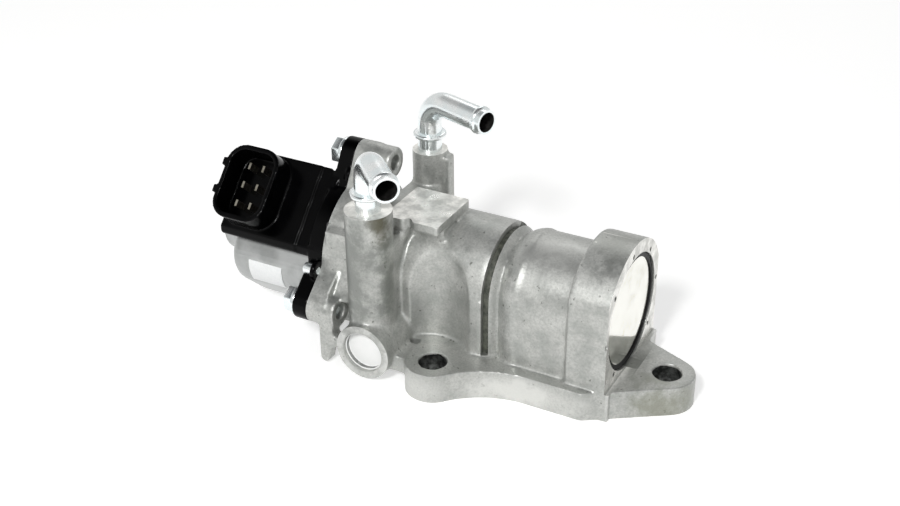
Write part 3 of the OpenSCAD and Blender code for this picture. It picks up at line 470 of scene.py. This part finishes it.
def finish_surface(tree, output, colour, roughness, height, strength, depth, **constants):
    """A Principled surface from colour and roughness sockets or values, with a bump of depth metres."""
    shader = tree.nodes.new("ShaderNodeBsdfPrincipled")
    for label, value in (("Base Color", colour), ("Roughness", roughness)):
        if isinstance(value, bpy.types.NodeSocket):
            tree.links.new(value, shader.inputs[label])
        else:
            shader.inputs[label].default_value = value
    for label, value in constants.items():
        shader.inputs[label.replace("_", " ")].default_value = value
    if height is not None:
        bump = add_node(tree, "ShaderNodeBump", Strength=strength, Distance=depth)
        tree.links.new(height, bump.inputs["Height"])
        tree.links.new(bump.outputs[0], shader.inputs["Normal"])
    tree.links.new(shader.outputs[0], output.inputs["Surface"])
    return shader


# An oily stain and a painted shadow of the tube end under the open end of the front tube, a darker band
# down the right side of its column, and an oily stain on the end lug.
# Each has its middle, its reach along X, Y and Z, its strength and its colour.
STAINS_AND_PAINTED_SHADE = [
    ((-0.0540, -0.0292, 0.0540), (0.0050, 0.0060, 0.0085), 0.92, (0.105, 0.098, 0.062, 1)),
    ((-0.0530, -0.0275, 0.0360), (0.0042, 0.0060, 0.0190), 0.50, (0.20, 0.215, 0.185, 1)),
    ((0.0290, -0.0080, 0.0030), (0.0115, 0.0115, 0.0085), 0.60, (0.26, 0.265, 0.20, 1)),
]
# Broad patches of painted light and shade on the casting, no wear: painted shade on the front column and
# the top of the collar, a painted highlight beside the front column, and painted light on the barrel and
# the side of the flange, where the lamps light it otherwise.
PAINTED_LIGHT_AND_SHADE = [
    ((-0.0660, -0.0330, 0.0370), (0.0170, 0.0120, 0.0240), 0.80, (0.22, 0.23, 0.215, 1)),
    ((-0.0505, -0.0245, 0.0340), (0.0024, 0.0050, 0.0180), 0.90, (0.92, 0.93, 0.90, 1)),
    ((0.0100, -0.0020, 0.0560), (0.0085, 0.0200, 0.0110), 0.35, (0.26, 0.265, 0.24, 1)),
    ((-0.0080, -0.0080, 0.0480), (0.0140, 0.0130, 0.0090), 0.35, (0.80, 0.80, 0.77, 1)),
    ((-0.0110, -0.0250, 0.0040), (0.0270, 0.0080, 0.0062), 0.75, (0.80, 0.80, 0.77, 1)),
    ((-0.0400, -0.0370, 0.0040), (0.0130, 0.0080, 0.0062), 0.45, (0.78, 0.78, 0.75, 1)),
]


def new_surface(name):
    """A new material, its node tree and output, and the place on the piece in its own coordinates."""
    material, tree, output = new_material(name)
    return material, tree, output, add_node(tree, "ShaderNodeTexCoord").outputs["Object"]


cast_alloy, tree, output, place = new_surface("cast_alloy")
grain = use_group(tree, casting_grain, Place=place)
point = add_node(tree, "ShaderNodeNewGeometry").outputs["Pointiness"]
wear = use_group(tree, edge_wear, Pointiness=point, Place=place)
tone = mix_colour(tree, grain.outputs["Tone"], (0.42, 0.43, 0.41, 1), (0.60, 0.605, 0.58, 1))
for group, label, strength, colour in (
    (grain, "Speckle", 0.4, (0.25, 0.26, 0.245, 1)),
    (grain, "Pores", 0.7, (0.11, 0.115, 0.10, 1)),
    (wear, "Hollow", 0.55, (0.14, 0.15, 0.135, 1)),
):
    tone = mix_colour(tree, calculate(tree, "MULTIPLY", group.outputs[label], strength), tone, colour)
tone = mix_colour(tree, wear.outputs["Edge"], tone, (0.86, 0.86, 0.84, 1))
# Each stain, band and patch of painted light and shade fades out from its middle with a ragged edge.
for middle, reach, strength, colour in STAINS_AND_PAINTED_SHADE + PAINTED_LIGHT_AND_SHADE:
    from_stain_and_painted_light = add_node(tree, "ShaderNodeMapping", vector_type="TEXTURE", Location=middle, Scale=reach)
    tree.links.new(place, from_stain_and_painted_light.inputs["Vector"])
    far = add_node(tree, "ShaderNodeVectorMath", operation="LENGTH")
    tree.links.new(from_stain_and_painted_light.outputs[0], far.inputs[0])
    ragged = calculate(tree, "MULTIPLY", grain.outputs["Tone"], 0.5)
    edge = calculate(tree, "ADD", far.outputs["Value"], ragged)
    tone = mix_colour(tree, spread(tree, edge, 1.35, 0.55, 0.0, strength), tone, colour)
rough = spread(tree, grain.outputs["Tone"], 0.0, 1.0, 0.36, 0.48)
finish_surface(tree, output, tone, rough, grain.outputs["Height"], 0.45, 0.00010, Metallic=0.6)

milled_alloy, tree, output, place = new_surface("milled_alloy")
milled = use_group(tree, milled_face, Place=place)
tone = mix_colour(tree, spread(tree, milled.outputs["Blotch"], 0.35, 0.65), (0.60, 0.60, 0.57, 1),
                  (0.97, 0.96, 0.92, 1))
rough = spread(tree, milled.outputs["Blotch"], 0.3, 0.7, 0.40, 0.26)
finish_surface(tree, output, tone, rough, milled.outputs["Height"], 0.35, 0.00005, Metallic=0.75)

# Drilled holes are painted dark: painted shade where little light reaches into them, and dark chips and
# oil.
shaded_drilled_alloy, tree, output, place = new_surface("shaded_drilled_alloy")
oil_and_shade = noise(tree, place, 0.002, 4.0)
tone = mix_colour(tree, spread(tree, oil_and_shade, 0.35, 0.7), (0.05, 0.052, 0.05, 1), (0.24, 0.25, 0.24, 1))
finish_surface(tree, output, tone, 0.3, oil_and_shade, 0.2, 0.00005, Metallic=0.8)

# Painted shade and grime in the slot round the body: it is painted nearly black.
slot_shade_and_grime, tree, output, place = new_surface("slot_shade_and_grime")
shade_and_grime_mottle = noise(tree, place, 0.0015, 4.0)
tone = mix_colour(tree, spread(tree, shade_and_grime_mottle, 0.3, 0.7), (0.045, 0.05, 0.04, 1), (0.14, 0.145, 0.12, 1))
finish_surface(tree, output, tone, 0.5, shade_and_grime_mottle, 0.3, 0.00005, Metallic=0.3)


def paint(piece, *materials):
    piece.data.materials.clear()
    for material in materials:
        piece.data.materials.append(material)
    piece.data.polygons.foreach_set("material_index", [0] * len(piece.data.polygons))


def give_material(piece, index, wanted):
    """Gives the piece's material with this index to the faces that are wanted."""
    pick_faces(piece, wanted)
    piece.active_material_index = index
    bpy.ops.object.material_slot_assign()
    bpy.ops.object.mode_set(mode="OBJECT")


def in_slot(face):
    """True for the floor of the slot and for its wall on the motor side."""
    middle = face.center
    depth = sqrt(middle.y ** 2 + (middle.z - AXIS_Z) ** 2) if middle.z > AXIS_Z else abs(middle.y)
    if middle.z < FLANGE_Z + 0.0003 or not SLOT_START - 0.00003 < middle.x < SLOT_END:
        return False
    on_floor = abs(depth - SLOT_FLOOR_R) < 0.0002
    on_wall = abs(middle.x - SLOT_START) < 0.00003 and face.normal.x > 0.99
    return on_floor or (on_wall and depth > SLOT_FLOOR_R - 0.0002)


paint(body, cast_alloy, milled_alloy, shaded_drilled_alloy, slot_shade_and_grime)
# Painted shade: the floor of the slot and its wall on the motor side get the nearly black slot material.
give_material(body, 3, in_slot)
for axis, place, side, low, high in FACINGS:
    if place != PLUG_BOSS_Y:
        give_material(body, 1, lambda face: face.normal[axis] * side > 0.99
                      and abs(face.center[axis] - place) < 1e-5)
# Painted shade: the walls of the bolt holes get the dark drilled material.
for x, y in BOLT_HOLES:
    give_material(body, 2, lambda face: abs(face.normal.z) < 0.1
                  and (face.center.xy - Vector((x, y))).length < BOLT_HOLE_R + 0.0001)
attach(body, "housing")
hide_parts("valve_body")


# End plug: a turned aluminium disc that closes the bore, staked round its edge, mirror bright.
# A black rubber ring seals it in the mouth of the bore.
def dress(node, material):
    frame["nodes"][node].data.materials.clear()
    frame["nodes"][node].data.materials.append(material)


turned_alloy, tree, output, place = new_surface("turned_alloy")
centre = add_node(tree, "ShaderNodeMapping", Location=(0, 0, -AXIS_Z))
tree.links.new(place, centre.inputs["Vector"])
rings = add_node(tree, "ShaderNodeTexWave", wave_type="RINGS", rings_direction="X", Scale=700,
                 Distortion=0.6, Detail=2.0)
tree.links.new(centre.outputs[0], rings.inputs["Vector"])
smudge = noise(tree, place, 0.006, 4.0)
tone = mix_colour(tree, spread(tree, smudge, 0.4, 0.75), (0.90, 0.895, 0.84, 1), (0.74, 0.73, 0.66, 1))
rough = spread(tree, smudge, 0.3, 0.7, 0.07, 0.16)
finish_surface(tree, output, tone, rough, rings.outputs["Fac"], 0.05, 0.00002, Metallic=1.0)
dress("end_plug", turned_alloy)

black_rubber, tree, output, place = new_surface("black_rubber")
dust = noise(tree, place, 0.0012, 4.0)
tone = mix_colour(tree, spread(tree, dust, 0.4, 0.8), (0.002, 0.002, 0.002, 1), (0.010, 0.010, 0.010, 1))
finish_surface(tree, output, tone, 0.45, dust, 0.2, 0.00005, Specular_IOR_Level=0.2)
dress("cover_gasket", black_rubber)


# Plug seal: a soft black rubber ring, moulded to shape and squeezed between the plug and the bore.
# It bulges a little towards the mouth, so that it shows as a black line all round the plug.
SEAL_INNER_R = 0.01705
SEAL_OUTER_R = 0.01865
SEAL_START = 0.0121
SEAL_LENGTH = 0.0034


def settle(piece, name):
    only(piece)
    piece.name = name
    piece.data.name = name
    bpy.ops.object.transform_apply(location=True, rotation=True, scale=True)
    return piece


def soften_edges(piece, width, segments=3, limit=35):
    apply_modifier(piece, "BEVEL", width=width, segments=segments, limit_method="ANGLE",
                   angle_limit=radians(limit), use_clamp_overlap=True)
    only(piece)
    bpy.ops.object.shade_smooth_by_angle(angle=radians(40))


plug_seal = settle(rod((SEAL_START, 0, AXIS_Z), (1, 0, 0), SEAL_OUTER_R, SEAL_LENGTH), "plug_seal_ring")
cut(plug_seal, rod((SEAL_START - 0.001, 0, AXIS_Z), (1, 0, 0), SEAL_INNER_R, SEAL_LENGTH + 0.002))
soften_edges(plug_seal, 0.0006)
paint(plug_seal, black_rubber)
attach(plug_seal, "housing")
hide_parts("end_plug_seal")


# Coolant tubes: bent steel pipe with a collar at the column and a bead near the open end.
# They are pressed into the columns and bright zinc plated, as are the screws and rivets.
plated_steel, tree, output, place = new_surface("plated_steel")
cloud = noise(tree, place, 0.005, 4.0)
specks = noise(tree, place, 0.0009, 3.0)
tone = mix_colour(tree, spread(tree, cloud, 0.35, 0.7), (0.88, 0.94, 0.95, 1), (0.97, 0.985, 0.98, 1))
tone = mix_colour(tree, spread(tree, specks, 0.68, 0.8, 0.0, 0.4), tone, (0.40, 0.43, 0.43, 1))
rough = spread(tree, cloud, 0.3, 0.7, 0.16, 0.30)
finish_surface(tree, output, tone, rough, specks, 0.12, 0.00004, Metallic=0.9)

# Painted shade inside the tubes: their bores are painted nearly black.
shaded_tube_bore, tree, output, place = new_surface("shaded_tube_bore")
scale = noise(tree, place, 0.0015, 4.0)
tone = mix_colour(tree, spread(tree, scale, 0.3, 0.7), (0.012, 0.012, 0.012, 1), (0.05, 0.048, 0.045, 1))
finish_surface(tree, output, tone, 0.4, scale, 0.3, 0.00005, Metallic=0.4)

TUBE_WALL_R = 0.0036
for node in ("front_coolant_tube", "rear_coolant_tube"):
    pipe = merged_copy(node, "bent_" + node)
    bpy.ops.object.shade_smooth_by_angle(angle=radians(35))
    mount_name = node.replace("coolant_tube", "tube_end")
    run = next(mount for mount in frame["record"]["mounts"] if mount["name"] == mount_name)
    middle = Vector(run["pos_m"])
    along = Vector(run["axis"])
    reach = run["dims"]["length_mm"] / 2000

    def in_bore(face):
        offset = face.center - middle
        ahead = offset.dot(along)
        if ahead <= -reach or abs(face.normal.dot(along)) >= 0.5:
            return False
        return (offset - along * ahead).length < TUBE_WALL_R

    paint(pipe, plated_steel, shaded_tube_bore)
    give_material(pipe, 1, in_bore)
    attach(pipe, "housing")
    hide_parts(node)


# Core plug: a pressed tin plated steel cup, driven into the end of the water drilling, painted almost
# white as a painted highlight.
# Its floor is flat and stands a little below the rim.
CORE_PLUG_SINK = 0.0012
CORE_PLUG_PLACE = Vector((CORE_PLUG_X, PLUG_BOSS_Y + CORE_PLUG_SINK, CORE_PLUG_Z))
CORE_PLUG_LENGTH = 0.0045
CORE_PLUG_RIM = 0.0005
CORE_PLUG_FLOOR = 0.0016

core_plug = settle(rod(CORE_PLUG_PLACE, (0, 1, 0), CORE_PLUG_R, CORE_PLUG_LENGTH), "core_plug_cup")
pick_faces(core_plug, lambda face: face.normal.y < -0.9)
bpy.ops.mesh.inset(thickness=CORE_PLUG_RIM)
bpy.ops.mesh.extrude_region_move(TRANSFORM_OT_translate={"value": (0, CORE_PLUG_FLOOR, 0)})
bpy.ops.mesh.inset(thickness=0.0006)
bpy.ops.object.mode_set(mode="OBJECT")
soften_edges(core_plug, 0.0002, 2)

# Painted highlight: the floor and rim of the cup are painted almost white.
painted_lit_tin, tree, output, place = new_surface("painted_lit_tin")
cloud = noise(tree, place, 0.004, 4.0)
tone = mix_colour(tree, spread(tree, cloud, 0.3, 0.7), (0.96, 0.97, 0.96, 1), (1.0, 1.0, 0.99, 1))
rough = spread(tree, cloud, 0.3, 0.7, 0.30, 0.42)
finish_surface(tree, output, tone, rough, cloud, 0.1, 0.00005, Metallic=0.0)

# Painted shade: the cup's inner wall gets a dark copy of the tin.
shaded_tin, tree, output, place = new_surface("shaded_tin")
cloud = noise(tree, place, 0.002, 4.0)
tone = mix_colour(tree, spread(tree, cloud, 0.3, 0.7), (0.16, 0.165, 0.16, 1), (0.42, 0.43, 0.42, 1))
finish_surface(tree, output, tone, 0.3, cloud, 0.1, 0.00005, Metallic=0.9)
paint(core_plug, painted_lit_tin, shaded_tin)
give_material(core_plug, 1, lambda face: abs(face.normal.y) < 0.3
              and (face.center.xz - CORE_PLUG_PLACE.xz).length < CORE_PLUG_R - CORE_PLUG_RIM + 0.0001)
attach(core_plug, "housing")
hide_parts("core_plug")


# Inner valve train: seat ring, poppet valve, guide, seal and its washer, return spring and its seat.
# Turned steel, sintered bronze and filled plastic, pressed in or held on the valve stem.
def plain_metal(name, light, dark, roughness, metallic=1.0, grain=0.0012):
    material, tree, output, place = new_surface(name)
    cloud = noise(tree, place, grain, 4.0)
    tone = mix_colour(tree, spread(tree, cloud, 0.3, 0.7), (*dark, 1), (*light, 1))
    finish_surface(tree, output, tone, roughness, cloud, 0.15, 0.00005, Metallic=metallic)
    return material


heat_steel = plain_metal("heat_steel", (0.46, 0.44, 0.41), (0.30, 0.28, 0.26), 0.35)
bearing_bronze = plain_metal("bearing_bronze", (0.62, 0.42, 0.24), (0.42, 0.27, 0.15), 0.4)
core_steel = plain_metal("core_steel", (0.45, 0.45, 0.47), (0.32, 0.32, 0.34), 0.4)
spring_steel = plain_metal("spring_steel", (0.5, 0.51, 0.52), (0.34, 0.34, 0.36), 0.3)
winding_copper = plain_metal("winding_copper", (0.60, 0.28, 0.13), (0.40, 0.17, 0.08), 0.3)
seal_plastic = plain_metal("seal_plastic", (0.42, 0.30, 0.20), (0.30, 0.21, 0.14), 0.5, 0.0)
nut_plastic = plain_metal("nut_plastic", (0.78, 0.72, 0.58), (0.66, 0.60, 0.47), 0.45, 0.0)
magnet_ferrite = plain_metal("magnet_ferrite", (0.10, 0.10, 0.11), (0.05, 0.05, 0.055), 0.6, 0.0)
terminal_tin = plain_metal("terminal_tin", (0.56, 0.53, 0.45), (0.32, 0.30, 0.24), 0.3)
INNER_PIECES = {
    heat_steel: ("valve_seat", "poppet_valve", "lead_screw"),
    bearing_bronze: ("stem_guide", "front_bearing", "rear_bearing"),
    core_steel: ("seal_retainer", "spring_seat", "front_plate", "front_yoke", "rear_yoke"),
    spring_steel: ("wave_washer",),
    winding_copper: ("front_coil", "rear_coil"),
    seal_plastic: ("stem_seal",),
    nut_plastic: ("rotor_nut",),
    magnet_ferrite: ("rotor_magnet",),
    terminal_tin: ("terminals",),
}
for material, nodes in INNER_PIECES.items():
    for node in nodes:
        dress(node, material)


# Return spring: round steel wire, coiled cold, between the spring seat and the end of its chamber.
# It closes the valve, and it shortens by the lift as the valve opens.
spring = merged_copy("return_spring", "coiled_return_spring")
bpy.ops.object.shade_smooth_by_angle(angle=radians(60))
paint(spring, spring_steel)
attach(spring, "housing")
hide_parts("return_spring")
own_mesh(spring)


# Motor can: drawn steel cup with a bearing hub, satin grey.
# A bare white label is stuck round its near edge.
can_steel, tree, output, place = new_surface("can_steel")
draw = add_node(tree, "ShaderNodeMapping", Scale=(1, 12, 12))
tree.links.new(place, draw.inputs["Vector"])
lines = noise(tree, draw.outputs[0], 0.01, 4.0, 0.7)
cloud = noise(tree, place, 0.008, 4.0)
tone = mix_colour(tree, spread(tree, cloud, 0.3, 0.7), (0.36, 0.37, 0.365, 1), (0.50, 0.51, 0.505, 1))
rough = spread(tree, cloud, 0.3, 0.7, 0.30, 0.42)
finish_surface(tree, output, tone, rough, lines, 0.12, 0.00006, Metallic=0.9)
dress("motor_can", can_steel)

label_film, tree, output, place = new_surface("label_film")
fibre = noise(tree, place, 0.0008, 3.0)
tone = mix_colour(tree, spread(tree, fibre, 0.3, 0.7), (0.90, 0.92, 0.92, 1), (0.96, 0.97, 0.97, 1))
finish_surface(tree, output, tone, 0.42, fibre, 0.1, 0.00003)
dress("can_label", label_film)


# Motor cover: one glass-filled black plastic moulding with the connector shroud on its tilted deck.
# It is moulded with small radii everywhere and clamps the can to the motor flange.
COVER_VOXEL = 0.00034
COVER_SOFTEN = 5
COVER_KEEP = 0.4
cover = merged_copy("motor_cover", "moulded_motor_cover")
cast_softly(cover, COVER_VOXEL, COVER_SOFTEN, COVER_KEEP)
only(cover)
bpy.ops.object.shade_smooth_by_angle(angle=radians(40))

black_plastic, tree, output, place = new_surface("black_plastic")
flow = noise(tree, place, 0.012, 4.0)
texture = noise(tree, place, 0.0005, 2.0)
flow_share = spread(tree, flow, 0.35, 0.7)
tone = mix_colour(tree, flow_share, (0.0003, 0.0003, 0.0004, 1), (0.0012, 0.0012, 0.0015, 1))
rough = spread(tree, flow, 0.3, 0.7, 0.14, 0.24)
finish_surface(tree, output, tone, rough, texture, 0.10, 0.00003, Specular_IOR_Level=0.10)
paint(cover, black_plastic)
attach(cover, "housing")
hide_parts("motor_cover")


# Cover screws: three plated hexagon flange screws through the ears of the cover into the casting.
# The hexagon is chamfered and dished, and its flange is cold formed in one piece with it.
COVER_FACE_X = MOTOR_FACE_X - 0.0055
SCREW_FLANGE_R = 0.005
SCREW_FLANGE_T = 0.0011
SCREW_HEX_R = 0.008 / sqrt(3)
SCREW_HEAD = 0.0042
SCREW_SHANK_R = 0.0025
SCREW_LENGTH = 0.0135


def join(pieces, name):
    only(pieces[0])
    for piece in pieces:
        piece.select_set(True)
    bpy.ops.object.join()
    pieces[0].name = name
    pieces[0].data.name = name
    return pieces[0]


screws = []
for angle in SCREW_ANGLES:
    seat = around_axis(COVER_FACE_X, SCREW_CIRCLE, angle)
    hexagon = settle(rod(seat, (-1, 0, 0), SCREW_HEX_R, SCREW_HEAD, 6), "hexagon")
    soften_edges(hexagon, 0.00035, 3, 30)
    pick_faces(hexagon, lambda face: face.normal.x < -0.95 and face.area > 2e-6)
    bpy.ops.mesh.inset(thickness=0.0011)
    bpy.ops.mesh.inset(thickness=0.0003)
    bpy.ops.transform.translate(value=(0.0005, 0, 0))
    bpy.ops.object.mode_set(mode="OBJECT")
    flange = settle(rod(seat, (-1, 0, 0), SCREW_FLANGE_R, SCREW_FLANGE_T, 64), "flange")
    pick_faces(flange, lambda face: face.normal.x < -0.9)
    bpy.ops.mesh.inset(thickness=0.0009)
    bpy.ops.transform.translate(value=(-0.0004, 0, 0))
    bpy.ops.object.mode_set(mode="OBJECT")
    soften_edges(flange, 0.0002, 2, 20)
    shank = settle(rod(seat, (1, 0, 0), SCREW_SHANK_R, SCREW_LENGTH, 48), "shank")
    soften_edges(shank, 0.0004, 1, 60)
    screws += [hexagon, flange, shank]
screws = join(screws, "cover_screw_set")
paint(screws, plated_steel)
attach(screws, "housing")
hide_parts("cover_screws")


# Rivets: two turned steel studs that hold the can to the cover, with rounded bright heads.
# Each stands in a small lug at the edge of the cover.
RIVET_CIRCLE = 0.0245
RIVET_ANGLES = [radians(93.5), radians(178.5)]
RIVET_R = 0.0019
RIVET_HEAD = 0.0035
RIVET_LUG = 0.0015
rivets = []
for angle in RIVET_ANGLES:
    seat = around_axis(MOTOR_FACE_X - RIVET_LUG, RIVET_CIRCLE, angle)
    head = settle(rod(seat, (-1, 0, 0), RIVET_R, RIVET_HEAD, 48), "rivet_head")
    pick_faces(head, lambda face: face.normal.x < -0.9)
    bpy.ops.mesh.inset(thickness=0.0007)
    bpy.ops.object.mode_set(mode="OBJECT")
    soften_edges(head, 0.0004, 3, 30)
    foot = settle(rod(seat, (1, 0, 0), RIVET_R - 0.0007, RIVET_LUG, 32), "rivet_foot")
    soften_edges(foot, 0.0002, 2, 30)
    rivets += [head, foot]
rivets = join(rivets, "cover_rivet_set")
paint(rivets, plated_steel)
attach(rivets, "housing")
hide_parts("cover_rivets")


bpy.ops.object.select_all(action="DESELECT")
